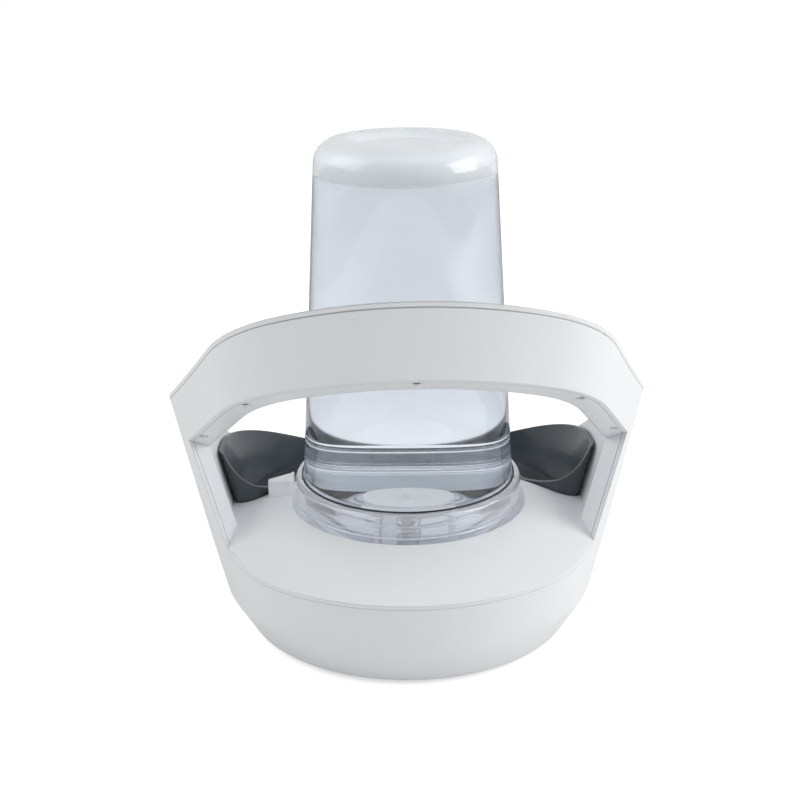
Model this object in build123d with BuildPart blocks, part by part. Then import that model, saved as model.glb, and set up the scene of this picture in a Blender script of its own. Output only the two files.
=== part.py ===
from build123d import *
import os
from math import acos, asin, atan, cos, radians, sin, sqrt, tan

# A pet water fountain: an inverted bottle stands in a white case whose back rises into a hoop
# handle, and a dark crescent bowl lies round the bottle on the drinking side.
# Origin on the floor under the bottle axis, +Z up, +Y towards the drinking side, millimetres.

# ---------------------------------------------------------------- driving dimensions
# Case: two cones stacked at a rounded knee, stretched towards the front, with a flat cheek each side
case_lift = 2.5            # underside of the case above the floor
case_foot_radius = 97.0    # outer radius at the underside
knee_height = 23.8
knee_flare = 0.608         # radius gained per mm of height below the knee
case_flare = 0.25          # radius gained per mm of height above the knee
knee_rounding = 45.0
front_shift = 20.0         # straight stretch of the plan towards the drinking side
cheek_angle = 64.0         # degrees from the rear
cheek_offset = 104.5       # distance of the cheek from the axis at floor level, along its normal
cheek_flare = 0.167
crease_rounding = 80.0     # of a cheek's rear edge
front_crease_rounding = 34.0

# Rim, seen from the side
rim_height = 136.0         # above the axis
rim_rear_slope = 0.62
rim_sag = 1.5              # the rear rim's line dips under the straight one by this much
rim_sag_y = 112.0          # here, behind the axis
rim_rear_end = 170.0
rim_peak_rounding = 12.0
rim_front_slope = 0.80
rim_front_height = 58.0
rim_blend = 60.0

# Window under the handle
window_top = 104.0         # height of its top face above the axis
window_slope = 0.60
window_half_width = 117.5  # at the axis, at the window_level height
window_level = 120.0
window_side_lean = 0.434   # half width gained per mm of height
window_side_flare = 0.272  # half width gained per mm towards the rear
seam_height = 57.0         # sill of the window, where the dome meets the case

# Walls and general fits
skin = 2.8                 # outer shell wall
liner_inset = 14.0         # inner face of the double wall, from the outer face
liner_wall = 2.5
frame_wall = 2.6           # walls of the window, between the two skins
lip_drop = 2.2             # height of the rim lip
seat_gap = 0.3             # clearance between seated pieces
run_gap = 0.05             # radial clearance of a shaft in its hole
trim_gap = 0.08            # clearance at a seam that shows

# Dome round the bottle
dome_opening = 70.0        # radius of the hole for the bottle cap
dome_height = 72.5         # at the opening
dome_crown_radius = 67.8   # where the dome's arc starts, inside the opening
dome_mid_radius = 98.0
dome_mid_height = 67.6
dome_edge_radius = 120.0
dome_edge_height = 59.0
dome_wall = 2.5
tab_width = 15.0           # raised tab beside the opening
tab_middle = 76.5
tab_back = 4.0
tab_front = 20.0
tab_height = 80.5

# Ledge, gasket and basin
ledge_top = 50.0
ledge_wall = 3.0
ledge_outer_inset = 4.4
ledge_inner_inset = 20.5
gasket_wall = 1.3
gasket_outer_inset = 12.0
flange_wall = 2.5
flange_inset = 4.4
basin_inset = 17.0
basin_wall = 2.5
basin_bottom = 20.0
basin_screw_inset = 7.6
basin_screw_length = 9.0
basin_screw_count = 8
basin_boss_radius = 3.4
basin_boss_height = 5.5

# Base plate, feet and base screws
plate_wall = 3.4
plate_seat = 2.4           # ledge of the outer shell above the plate
plate_seat_width = 6.0
foot_radius = 5.8
foot_height = 4.0
foot_circle = 86.5
foot_angle = 32.0
base_boss_radius = 4.5
base_boss_circle = 68.0
base_screw_count = 6
base_screw_length = 13.0
base_screw_turn = 30.0

# Self-tapping screws
screw_radius = 1.5
screw_head_radius = 3.0
screw_head_height = 1.6
case_screw_radius = 1.1
case_screw_head_radius = 2.0
case_screw_head_height = 1.4
case_screw_length = 13.0
case_screw_inset = 5.3
case_screw_turns = (0, 37, -37, 72, -72)    # degrees from the rear
case_boss_radius = 3.4
case_boss_start = 7.2      # past the window's top wall, which slopes across the boss

# Drinking bowl
bowl_inset = 15.0
bowl_wall = 2.6
bowl_floor = 2.7
bowl_inner_radius = 74.0
bowl_top = 100.0
bowl_back_low = 26.0       # y of the back wall beside the bottle, at the bowl's underside
bowl_back_high = 15.0      # and at its top
bowl_corner_low = -3.0
bowl_corner_high = -12.0
bowl_corner_rounding_low = 8.0
bowl_corner_rounding_high = 15.0
bowl_side_height = 98.5
bowl_slope_start = 34.0
bowl_slope_mid_y = 74.0
bowl_slope_mid_height = 88.0
bowl_slope_end_y = 104.0
bowl_slope_end_height = 69.5
bowl_front_y = 113.0
bowl_front_height = 63.5
bowl_back_height = 72.0    # rim beside the bottle
bowl_back_start = 70.0
bowl_back_mid_x = 95.0
bowl_back_mid_height = 80.0
bowl_back_end_x = 110.5
bowl_back_front = 20.0     # the low rim beside the bottle ends at this y on the outer wall
bowl_back_reach = 88.0     # and at this radius from the bottle's axis past it
bowl_envelope_gap = 0.8
water_level = 60.0

# Bottle
bottle_mouth = 60.0
bottle_neck_radius = 60.6
bottle_shoulder = 86.0
bottle_low_radius = 61.9
bottle_high_radius = 51.5
bottle_high = 273.0
bottle_top = 286.0
bottle_wall = 2.2
bottle_rounding = 13.5
shoulder_rise = 4.4        # height over which the neck widens to the body
crown_lean = 1.1           # body radius lost between bottle_high and the crown
dish_lean = 2.2
bottle_dish_radius = 30.0
bottle_dish_depth = 3.5
bottle_bead = 1.4
bottle_bead_height = 77.0
bead_width = 2.4
seal_height = 0.9
seal_width = 0.9

# Bottle cap and valve
cap_radius = 67.0
cap_top = 88.0
cap_floor = 3.0
cap_bore = 62.4
cap_rounding = 2.6
cap_bead = 1.3
cap_bead_height = 72.5
outlet_radius = 12.0
stem_radius = 3.0
stem_top = 80.0
valve_open = 4.0           # lift of the washer off its seat while the bottle stands on the post
washer_wall = 2.0
washer_radius = 14.0
plate_disc = 2.0
guide_radius = 20.0
guide_rail = 3.0
guide_wall = 2.5
guide_top = 76.5
guide_rail_count = 3
spring_radius = 5.6
spring_wire = 0.5
spring_turns = 4
post_radius = 4.0
post_height = 4.0

# Cradle under the bottle
cradle_outer = 68.0
cradle_inner = 24.0
cradle_wall = 2.8
cradle_leg_radius = 4.0
cradle_leg_circle = 61.5
cradle_leg_count = 4
cradle_turn = 45.0         # degrees from +X of the first leg
cradle_spoke = 6.0
cradle_hub = 10.0
tower_wall = 2.5
tower_bottom = 51.0

# Pump
pump_x = 29.0
pump_width = 32.0
pump_back = 62.0
pump_split = 86.0
pump_front = 92.0
pump_bottom = 26.8
pump_top = 45.0
pump_rounding = 3.0
rotor_radius = 6.3
rotor_back = 66.5
rotor_bore_gap = 0.3
vane_radius = 7.4
vane_count = 6
vane_width = 1.2
vane_depth = 3.2
volute_radius = 8.2
volute_depth = 4.0
shaft_radius = 1.0
bush_radius = 3.0
bush_length = 2.2
intake_radius = 1.4
intake_circle = 5.2
intake_count = 6
foam_wall = 5.0
foam_margin = 4.0
cup_radius = 5.0
cup_inset = 6.5
riser_bore = 3.0
riser_radius = 4.2
riser_top = 56.0
seal_flange = 1.4
nozzle_radius = 9.0
nozzle_top_radius = 5.0
nozzle_height = 11.0
nozzle_wall = 1.4
nozzle_hole = 1.0
nozzle_hole_circle = 3.0
nozzle_hole_count = 5

# Filter
filter_x = -32.0
filter_width = 32.0
filter_back = 62.0
filter_front = 92.0
filter_wall = 1.6
filter_top = 42.0
filter_rounding = 3.0
filter_lid_wall = 2.4
filter_foam_wall = 7.0
filter_slot_count = 5
filter_slot = 2.0
drain_y = 86.0
drain_bore = 5.5
drain_wall = 1.5
drain_bottom = 43.5
grate_wall = 1.2
grate_slot = 1.2
grate_slot_length = 7.7
grate_slot_count = 3

# Mains lead inlet and the lead inside the case
jack_y = 10.0
jack_width = 10.0
jack_height = 10.0
jack_inner = 80.0
jack_outer = 94.5
jack_nose_radius = 4.2
jack_nose_end = 100.0
jack_socket_radius = 2.9
jack_socket_depth = 9.0
jack_pin_radius = 0.9
lead_radius = 2.0
lead_bend = 8.0
lead_y = 50.0
lead_rise = 3.5            # where the lead enters the pump, above the pump's underside
grommet_flange = 5.6
grommet_groove = 4.0
grommet_lip = 1.2


# ---------------------------------------------------------------- shared forms
reach = 220.0              # past every face of the case, for cutting solids
knee_radius = case_foot_radius + knee_flare * (knee_height - case_lift)
apex_radius = knee_radius - case_flare * knee_height
rim_peak = (rim_height + rim_rear_slope * apex_radius) / (1 - rim_rear_slope * case_flare)
case_top = rim_peak + 2 * skin
crease_parting = -cheek_offset * cos(radians(cheek_angle))     # y between a cheek's two edges


def case_radius(z):
    """Outer radius of the case at height z, without the rounding of the knee."""
    flare = case_flare if z > knee_height else knee_flare
    return knee_radius + flare * (z - knee_height)


def case_reach(turn, z, inset):
    """Distance from the axis to the case's face moved in by inset, at turn degrees from the rear."""
    cone = case_radius(z)
    cheek = cheek_offset + cheek_flare * z
    rounding = crease_rounding if abs(turn) < cheek_angle else front_crease_rounding
    centre = cone - rounding
    swing = acos(min(1.0, (cheek - rounding) / centre))
    away = radians(abs(cheek_angle - abs(turn)))
    if away >= swing:
        return cone - inset
    if away <= atan(centre * sin(swing) / cheek):
        return (cheek - inset) / cos(away)
    aside = swing - away
    return centre * cos(aside) + sqrt((rounding - inset) ** 2 - (centre * sin(aside)) ** 2)


def side_plane(y=0.0):
    """Plane of constant y whose local axes are world X and Z."""
    return Plane(origin=(0, y, 0), x_dir=(1, 0, 0), z_dir=(0, -1, 0))


def case_profile(plane, inset, bottom, top, both_sides):
    """Section of the case between two heights, all its faces moved in by inset."""
    heights = [bottom, knee_height, top] if bottom < knee_height < top else [bottom, top]
    edge = [(case_radius(z) - inset, z) for z in heights]
    far_edge = [(-x, z) for x, z in reversed(edge)] if both_sides else [(0, top), (0, bottom)]
    with BuildSketch(plane) as section:
        with BuildLine():
            Polyline(*edge, *far_edge, close=True)
        make_face()
        if len(heights) == 3:
            knees = section.vertices().filter_by(lambda v: abs(v.Z - knee_height) < 0.001)
            half_turn = (atan(knee_flare) - atan(case_flare)) / 2
            room = 0.95 * (knee_height - bottom) / cos(atan(knee_flare)) / tan(half_turn)
            fillet(knees, min(knee_rounding - inset, room))
    return section.sketch


def case_form(inset, bottom=case_lift, top=case_top):
    """The case as a filled solid, every face moved in by inset."""
    rear_axis = Axis((0, 0, 0), (0, 0, -1))
    front_axis = Axis((0, front_shift, 0), (0, 0, 1))
    lean = atan(cheek_flare)
    with BuildPart() as form:
        for middle, axis in ((0, rear_axis), (front_shift, front_axis)):
            half_section = case_profile(side_plane(middle), inset, bottom, top, False)
            revolve(half_section, axis=axis, revolution_arc=180)
        extrude(case_profile(side_plane(), inset, bottom, top, True), amount=front_shift, dir=(0, 1, 0))
        for side in (1, -1):
            level = Vector(side * sin(radians(cheek_angle)), -cos(radians(cheek_angle)), 0)
            split(bisect_by=Plane(origin=level * (cheek_offset - inset),
                                  z_dir=level * cos(lean) - Vector(0, 0, sin(lean))), keep=Keep.BOTTOM)
        for rounding, behind in ((crease_rounding, True), (front_crease_rounding, False)):
            creases = [e for e in form.edges()
                       if e.geom_type not in (GeomType.LINE, GeomType.CIRCLE) and e.center().Z > knee_height
                       and e.length > crease_rounding and (e.center().Y < crease_parting) == behind]
            if rounding - inset > 2 and creases:
                fillet(creases, rounding - inset)
    return form.part


def under_rim(drop):
    """Everything below the rim line lowered by drop, as seen from the side."""
    fall_end = (rim_height - rim_front_height) / rim_front_slope
    with BuildPart() as space:
        with BuildSketch(Plane.YZ) as section:
            with BuildLine():
                rear = (-rim_rear_end, rim_height + rim_rear_slope * rim_rear_end - drop)
                dip = (-rim_sag_y, rim_height + rim_rear_slope * rim_sag_y - rim_sag - drop)
                ThreePointArc(rear, dip, (0, rim_height - drop))
                Polyline((0, rim_height - drop), (fall_end, rim_front_height - drop),
                         (reach, rim_front_height - drop), (reach, 0), (-reach, 0),
                         (-reach, rear[1]), rear)
            make_face()
            peak = section.vertices().sort_by_distance((0, 0, rim_height - drop))[0]
            fillet(peak, rim_peak_rounding)
            bends = section.vertices().filter_by(lambda v: abs(v.Y - fall_end) < 0.001)
            fillet(bends, rim_blend)
        extrude(amount=reach, both=True)
    return space.part


def window_form(grow, sill):
    """The window as a solid plug from the axis to past the rear face, grown by grow."""
    with BuildPart() as plug:
        with BuildSketch(Plane.XY.offset(sill)):
            Rectangle(2 * reach, reach, align=(Align.CENTER, Align.MAX))
        extrude(amount=case_top - sill)
        top_out = Vector(0, window_slope, 1).normalized()
        top_point = Vector(0, 0, window_top) + top_out * grow
        split(bisect_by=Plane(origin=top_point, z_dir=top_out), keep=Keep.BOTTOM)
        for side in (1, -1):
            side_out = Vector(side, window_side_flare, -window_side_lean).normalized()
            corner = Vector(side * window_half_width, 0, window_level) + side_out * grow
            split(bisect_by=Plane(origin=corner, z_dir=side_out), keep=Keep.BOTTOM)
    return plug.part


def under_dome(drop):
    """Everything under the dome's face lowered by drop."""
    with BuildPart() as space:
        with BuildSketch(side_plane()):
            with BuildLine():
                ThreePointArc((dome_crown_radius, dome_height - drop),
                              (dome_mid_radius, dome_mid_height - drop),
                              (dome_edge_radius, dome_edge_height - drop))
                Polyline((dome_edge_radius, dome_edge_height - drop), (dome_edge_radius, basin_bottom),
                         (0, basin_bottom), (0, dome_height - drop),
                         (dome_crown_radius, dome_height - drop))
            make_face()
        revolve(axis=Axis.Z)
    return space.part


def bowl_outline(z, grow):
    """Crescent outline of the bowl at height z, grown by grow."""
    share = (z - bowl_bottom) / (bowl_top - bowl_bottom)
    outer = case_radius(z) - bowl_inset + grow
    inner = bowl_inner_radius - grow
    back = bowl_back_low + (bowl_back_high - bowl_back_low) * share - grow
    corner = bowl_corner_low + (bowl_corner_high - bowl_corner_low) * share - grow
    rounding = bowl_corner_rounding_low + (bowl_corner_rounding_high - bowl_corner_rounding_low) * share
    back_x = sqrt(inner ** 2 - back ** 2)
    half_way = (asin(back / inner) + radians(90)) / 2
    with BuildSketch(Plane.XY.offset(z)) as outline:
        with BuildLine():
            ThreePointArc((0, inner), (inner * cos(half_way), inner * sin(half_way)), (back_x, back))
            FilletPolyline((back_x, back), (outer, corner), (outer, front_shift), radius=rounding + grow)
            CenterArc((0, front_shift), outer, 0, 90)
            mirror(about=Plane.YZ)
        make_face()
    return outline.sketch


def bowl_form(grow, bottom, top):
    """The bowl's crescent as a filled solid between two heights."""
    with BuildPart() as form:
        add(bowl_outline(bottom, grow))
        add(bowl_outline(top, grow))
        loft(ruled=True)
    return form.part


def ring_form(outer, inner, bottom, top):
    """A plain ring about the bottle axis."""
    with BuildPart() as ring:
        with BuildSketch(Plane.XY.offset(bottom)):
            Circle(outer)
            if inner > 0:
                Circle(inner, mode=Mode.SUBTRACT)
        extrude(amount=top - bottom)
    return ring.part


def common(first, *others):
    """What all the given solids share."""
    with BuildPart() as shared:
        add(first)
        for other in others:
            add(other, mode=Mode.INTERSECT)
    return shared.part


# Heights that follow from the driving dimensions
plate_top = case_lift + plate_wall
ledge_bottom = ledge_top - ledge_wall
flange_top = ledge_bottom - gasket_wall
flange_bottom = flange_top - flange_wall
basin_floor = basin_bottom + basin_wall
bowl_bottom = ledge_top + seat_gap
bowl_floor_top = bowl_bottom + bowl_floor
cap_bottom = ledge_top + seat_gap
cap_floor_top = cap_bottom + cap_floor
washer_bottom = cap_floor_top + valve_open
disc_bottom = washer_bottom + washer_wall
disc_top = disc_bottom + plate_disc
post_top = ledge_top + post_height
pump_axis_z = (pump_bottom + pump_top) / 2
outlet_y = pump_split + (pump_front - pump_split) / 2
jack_z = plate_top + seat_gap + jack_height / 2
lead_z = pump_bottom + lead_rise

rim_full = under_rim(0)
rim_lowered = under_rim(lip_drop)
window_plug = window_form(0, seam_height)
bowl_envelope = bowl_form(bowl_envelope_gap, bowl_bottom - bowl_envelope_gap, bowl_top + bowl_floor)


def jack_plane(x):
    """Plane across the inlet's axis at x."""
    return Plane(origin=(x, jack_y, jack_z), x_dir=(0, 1, 0), z_dir=(1, 0, 0))


# Screws through the window's top wall: at its middle, at the rear creases and near its corners
case_screw_planes = []
for turn in case_screw_turns:
    level_out = Vector(sin(radians(turn)), -cos(radians(turn)), 0)
    height = window_top
    for pass_count in range(6):
        spot = level_out * case_reach(turn, height, case_screw_inset)
        height = window_top - window_slope * spot.Y
    case_screw_planes.append(Plane(origin=(spot.X, spot.Y, height),
                                   z_dir=level_out * case_flare + Vector(0, 0, 1)))

# Screws through the basin's flange into the ledge of the inner shell
basin_screw_spots = []
for index in range(basin_screw_count):
    angle = radians((index + 0.5) * 360 / basin_screw_count)
    middle = front_shift if sin(angle) > 0 else 0
    near_cheek = middle == 0 and abs(cos(angle)) > cos(radians(cheek_angle))
    rim = cheek_offset + cheek_flare * flange_bottom if near_cheek else case_radius(flange_bottom)
    ring = rim - basin_screw_inset
    basin_screw_spots.append((ring * cos(angle), middle + ring * sin(angle)))


# ---------------------------------------------------------------- case
skin_inside = case_form(skin)
liner_outside = case_form(liner_inset - liner_wall)
liner_inside = case_form(liner_inset)

foot_spots = []
for side in (1, -1):
    foot_x = side * foot_circle * sin(radians(foot_angle))
    foot_y = foot_circle * cos(radians(foot_angle))
    foot_spots += [(foot_x, -foot_y), (foot_x, front_shift + foot_y)]

outer_window = window_form(trim_gap, seam_height - trim_gap)
plate_seat_ring = case_form(skin / 2, plate_top + seat_gap, plate_top + seat_gap + plate_seat)
plate_seat_hole = case_form(skin + plate_seat_width, plate_top, plate_top + 2 * plate_seat)
with BuildPart() as boss_posts:
    with BuildSketch(*[plane.offset(case_boss_start) for plane in case_screw_planes]):
        Circle(case_boss_radius)
    extrude(amount=case_screw_length - case_boss_start)
with BuildPart() as outer_shell:
    add(case_form(0))
    add(skin_inside, mode=Mode.SUBTRACT)
    add(outer_window, mode=Mode.SUBTRACT)
    add(common(boss_posts.part, case_form(skin / 2)))
    add(under_rim(lip_drop + seat_gap), mode=Mode.INTERSECT)
    add(plate_seat_ring - plate_seat_hole)
    with BuildSketch(*case_screw_planes):
        Circle(case_screw_radius + run_gap)
    extrude(amount=case_screw_length - seat_gap, mode=Mode.SUBTRACT)
    with BuildSketch(jack_plane(jack_outer)):
        Circle(jack_nose_radius + seat_gap)
    extrude(amount=4 * skin, mode=Mode.SUBTRACT)
    with BuildSketch(jack_plane(jack_inner)):
        Rectangle(jack_width + 2 * seat_gap, jack_height + 2 * seat_gap)
    extrude(amount=jack_outer + seat_gap - jack_inner, mode=Mode.SUBTRACT)
outer_shell.part.label = "outer_shell"

liner_skin = common(case_form(liner_inset - liner_wall, ledge_bottom) - liner_inside, rim_full)
rim_lip = common(case_form(0) - liner_inside, rim_full) - rim_lowered
window_frame = common(case_form(skin + trim_gap) - liner_inside, window_form(frame_wall, seam_height),
                      under_rim(lip_drop / 2)) - window_plug
ledge_hole = case_form(ledge_inner_inset, ledge_bottom, ledge_top)
ledge = case_form(ledge_outer_inset, ledge_bottom, ledge_top) - ledge_hole
land_plug = common(case_form(0), window_plug)
dome_reach = case_form(liner_inset - liner_wall / 2, seam_height, dome_height)
dome_plug = common(dome_reach + land_plug, under_dome(0))
dome_hollow = common(liner_inside, under_dome(dome_wall))
land_hollow = common(skin_inside - liner_outside, window_plug, under_dome(dome_wall))
tower = ring_form(dome_opening + tower_wall, dome_opening, tower_bottom, dome_height - dome_wall / 2)
tab_bottom = dome_mid_height - dome_wall
tab_place = Pos(-tab_middle, (tab_back + tab_front) / 2, (tab_bottom + tab_height) / 2)
tab = tab_place * Box(tab_width, tab_front - tab_back, tab_height - tab_bottom)
dome = dome_plug - dome_hollow - land_hollow + tower + tab
dome = dome - bowl_envelope - ring_form(dome_opening, 0, basin_bottom, tab_height)
with BuildPart() as inner_shell:
    add(liner_skin)
    add(rim_lip)
    add(window_plug, mode=Mode.SUBTRACT)
    add(window_frame)
    add(ledge)
    add(dome)
    with BuildSketch(Plane.XY.offset(ledge_bottom)):
        with Locations(*basin_screw_spots):
            Circle(basin_boss_radius)
    extrude(amount=ledge_wall + basin_boss_height)
    with BuildSketch(Plane.XY.offset(ledge_bottom)):
        with Locations(*basin_screw_spots):
            Circle(screw_radius + run_gap)
    extrude(amount=ledge_wall + basin_boss_height, mode=Mode.SUBTRACT)
    with BuildSketch(*case_screw_planes):
        Circle(case_screw_head_radius + seat_gap)
    extrude(amount=case_screw_head_height, both=True, mode=Mode.SUBTRACT)
    with BuildSketch(*case_screw_planes):
        Circle(case_screw_radius + run_gap)
    extrude(amount=case_screw_length, mode=Mode.SUBTRACT)
inner_shell.part.label = "inner_shell"

with BuildPart() as case_screws:
    with BuildSketch(*case_screw_planes):
        Circle(case_screw_head_radius)
    extrude(amount=case_screw_head_height - seat_gap)
    with BuildSketch(*case_screw_planes):
        Circle(case_screw_radius)
    extrude(amount=case_screw_length - 2 * seat_gap)
case_screws.part.label = "case_screws"

with BuildPart() as base_plate:
    add(case_form(skin + seat_gap, case_lift, plate_top))
    with BuildSketch(Plane.XY.offset(case_lift)):
        with Locations(*foot_spots):
            Circle(foot_radius + seat_gap)
    extrude(amount=foot_height - case_lift, mode=Mode.SUBTRACT)
    with BuildSketch(Plane.XY.offset(case_lift)):
        with PolarLocations(base_boss_circle, base_screw_count, base_screw_turn):
            Circle(screw_head_radius + seat_gap)
    extrude(amount=screw_head_height + seat_gap, mode=Mode.SUBTRACT)
    with BuildSketch(Plane.XY.offset(case_lift)):
        with PolarLocations(base_boss_circle, base_screw_count, base_screw_turn):
            Circle(screw_radius + run_gap)
    extrude(amount=plate_wall, mode=Mode.SUBTRACT)
base_plate.part.label = "base_plate"

with BuildPart() as feet:
    with BuildSketch():
        with Locations(*foot_spots):
            Circle(foot_radius)
    extrude(amount=foot_height)
    fillet(feet.edges().group_by(Axis.Z)[0], case_lift / 3)
feet.part.label = "feet"

with BuildPart() as base_screws:
    with BuildSketch(Plane.XY.offset(case_lift + seat_gap)):
        with PolarLocations(base_boss_circle, base_screw_count, base_screw_turn):
            Circle(screw_head_radius)
    extrude(amount=screw_head_height)
    with BuildSketch(Plane.XY.offset(case_lift + seat_gap)):
        with PolarLocations(base_boss_circle, base_screw_count, base_screw_turn):
            Circle(screw_radius)
    extrude(amount=base_screw_length)
base_screws.part.label = "base_screws"

# ---------------------------------------------------------------- basin under the bowl
with BuildPart() as water_basin:
    add(case_form(basin_inset, basin_bottom, flange_top))
    add(case_form(flange_inset, flange_bottom, flange_top))
    add(case_form(basin_inset + basin_wall, basin_floor, flange_top + 1), mode=Mode.SUBTRACT)
    with BuildSketch(Plane.XY.offset(plate_top + seat_gap)):
        with PolarLocations(base_boss_circle, base_screw_count, base_screw_turn):
            Circle(base_boss_radius)
    extrude(amount=basin_bottom - plate_top)
    with BuildSketch(Plane.XY.offset(plate_top)):
        with PolarLocations(base_boss_circle, base_screw_count, base_screw_turn):
            Circle(screw_radius + run_gap)
    extrude(amount=basin_bottom - plate_top, mode=Mode.SUBTRACT)
    with BuildSketch(Plane.XY.offset(flange_bottom)):
        with Locations(*basin_screw_spots):
            Circle(screw_radius + seat_gap)
    extrude(amount=flange_wall, mode=Mode.SUBTRACT)
    with BuildSketch(Plane.XY.offset(basin_bottom)):
        with Locations((pump_x, lead_y)):
            Circle(grommet_groove)
    extrude(amount=basin_wall, mode=Mode.SUBTRACT)
water_basin.part.label = "water_basin"

with BuildPart() as basin_gasket:
    add(case_form(gasket_outer_inset, flange_top, ledge_bottom))
    add(case_form(basin_inset + basin_wall, flange_top, ledge_bottom), mode=Mode.SUBTRACT)
basin_gasket.part.label = "basin_gasket"

with BuildPart() as basin_screws:
    with BuildSketch(Plane.XY.offset(flange_bottom - screw_head_height)):
        with Locations(*basin_screw_spots):
            Circle(screw_head_radius)
    extrude(amount=screw_head_height)
    with BuildSketch(Plane.XY.offset(flange_bottom)):
        with Locations(*basin_screw_spots):
            Circle(screw_radius)
    extrude(amount=basin_screw_length)
basin_screws.part.label = "basin_screws"

with BuildPart() as bottle_cradle:
    with BuildSketch(Plane.XY.offset(ledge_top - cradle_wall)):
        Circle(cradle_outer)
        Circle(cradle_inner, mode=Mode.SUBTRACT)
        Circle(cradle_hub)
        with PolarLocations(0, cradle_leg_count, cradle_turn):
            Rectangle(cradle_leg_circle, cradle_spoke, align=(Align.MIN, Align.CENTER))
    extrude(amount=cradle_wall)
    with BuildSketch(Plane.XY.offset(basin_floor + seat_gap)):
        with PolarLocations(cradle_leg_circle, cradle_leg_count, cradle_turn):
            Circle(cradle_leg_radius)
    extrude(amount=ledge_top - cradle_wall - basin_floor)
    with BuildSketch(Plane.XY.offset(ledge_top)):
        Circle(post_radius)
    extrude(amount=post_height)
bottle_cradle.part.label = "bottle_cradle"

# ---------------------------------------------------------------- drinking bowl
with BuildPart() as side_cut:
    with BuildSketch(Plane.YZ):
        with BuildLine():
            ThreePointArc((bowl_slope_start, bowl_side_height), (bowl_slope_mid_y, bowl_slope_mid_height),
                          (bowl_slope_end_y, bowl_slope_end_height))
            Polyline((bowl_slope_end_y, bowl_slope_end_height), (bowl_front_y, bowl_front_height),
                     (reach, bowl_front_height), (reach, case_top), (-reach, case_top),
                     (-reach, bowl_side_height), (bowl_slope_start, bowl_side_height))
        make_face()
    extrude(amount=reach, both=True)
with BuildPart() as back_cut:
    with BuildSketch(side_plane(-reach)):
        with BuildLine():
            for side in (1, -1):
                ThreePointArc((side * bowl_back_start, bowl_back_height),
                              (side * bowl_back_mid_x, bowl_back_mid_height),
                              (side * bowl_back_end_x, bowl_side_height))
            Line((bowl_back_start, bowl_back_height), (-bowl_back_start, bowl_back_height))
            Polyline((bowl_back_end_x, bowl_side_height), (bowl_back_end_x, case_top),
                     (-bowl_back_end_x, case_top), (-bowl_back_end_x, bowl_side_height))
        make_face()
    extrude(amount=-2 * reach)
with BuildPart() as back_zone:
    with BuildSketch():
        Circle(bowl_back_reach)
        with Locations((0, bowl_back_front)):
            Rectangle(2 * reach, reach, align=(Align.CENTER, Align.MAX))
    extrude(amount=case_top)

drain_spot = (filter_x, drain_y)
spout_spot = (pump_x, outlet_y)
with BuildPart() as drinking_bowl:
    add(bowl_form(0, bowl_bottom, bowl_top))
    add(bowl_form(-bowl_wall, bowl_floor_top, bowl_top + bowl_floor), mode=Mode.SUBTRACT)
    add(side_cut.part, mode=Mode.SUBTRACT)
    add(common(back_cut.part, back_zone.part), mode=Mode.SUBTRACT)
    with BuildSketch(Plane.XY.offset(drain_bottom)):
        with Locations(drain_spot):
            Circle(drain_bore + drain_wall)
    extrude(amount=water_level - drain_bottom)
    with BuildSketch(Plane.XY.offset(drain_bottom)):
        with Locations(drain_spot):
            Circle(drain_bore)
    extrude(amount=water_level - drain_bottom, mode=Mode.SUBTRACT)
    with BuildSketch(Plane.XY.offset(bowl_bottom)):
        with Locations(spout_spot):
            Circle(riser_radius + seal_flange)
    extrude(amount=bowl_floor, mode=Mode.SUBTRACT)
drinking_bowl.part.label = "drinking_bowl"

with BuildPart() as spout_seal:
    with BuildSketch(Plane.XY.offset(bowl_bottom)):
        with Locations(spout_spot):
            Circle(riser_radius + seal_flange)
    extrude(amount=bowl_floor)
    with BuildSketch(Plane.XY.offset(bowl_floor_top)):
        with Locations(spout_spot):
            Circle(riser_radius + 2 * seal_flange)
    extrude(amount=seal_flange)
    with BuildSketch(Plane.XY.offset(bowl_bottom)):
        with Locations(spout_spot):
            Circle(riser_radius + run_gap)
    extrude(amount=bowl_floor + seal_flange, mode=Mode.SUBTRACT)
spout_seal.part.label = "spout_seal"

with BuildPart() as spout_nozzle:
    with BuildSketch(Plane.XY.offset(bowl_floor_top)):
        with Locations(spout_spot):
            Circle(nozzle_radius)
    with BuildSketch(Plane.XY.offset(bowl_floor_top + nozzle_height)):
        with Locations(spout_spot):
            Circle(nozzle_top_radius)
    loft()
    with BuildSketch(Plane.XY.offset(bowl_floor_top)):
        with Locations(spout_spot):
            Circle(nozzle_radius - nozzle_wall)
    with BuildSketch(Plane.XY.offset(bowl_floor_top + nozzle_height - nozzle_wall)):
        with Locations(spout_spot):
            Circle(nozzle_top_radius - nozzle_wall / 2)
    loft(mode=Mode.SUBTRACT)
    with BuildSketch(Plane.XY.offset(bowl_floor_top)):
        with Locations(Pos(*spout_spot)):
            with PolarLocations(nozzle_hole_circle, nozzle_hole_count):
                Circle(nozzle_hole)
    extrude(amount=nozzle_height, mode=Mode.SUBTRACT)
spout_nozzle.part.label = "spout_nozzle"

grate_slots = [(0, (i - (grate_slot_count - 1) / 2) * 2 * grate_slot) for i in range(grate_slot_count)]
with BuildPart() as drain_grate:
    with BuildSketch(Plane.XY.offset(water_level)):
        with Locations(drain_spot):
            Circle(drain_bore + drain_wall)
    extrude(amount=grate_wall)
    with BuildSketch(Plane.XY.offset(water_level - 2 * grate_wall)):
        with Locations(drain_spot):
            Circle(drain_bore - seat_gap)
    extrude(amount=2 * grate_wall)
    with BuildSketch(Plane.XY.offset(water_level - 2 * grate_wall)):
        with Locations(Pos(*drain_spot)):
            with Locations(*grate_slots):
                SlotOverall(grate_slot_length, grate_slot)
    extrude(amount=3 * grate_wall, mode=Mode.SUBTRACT)
drain_grate.part.label = "drain_grate"

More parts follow.
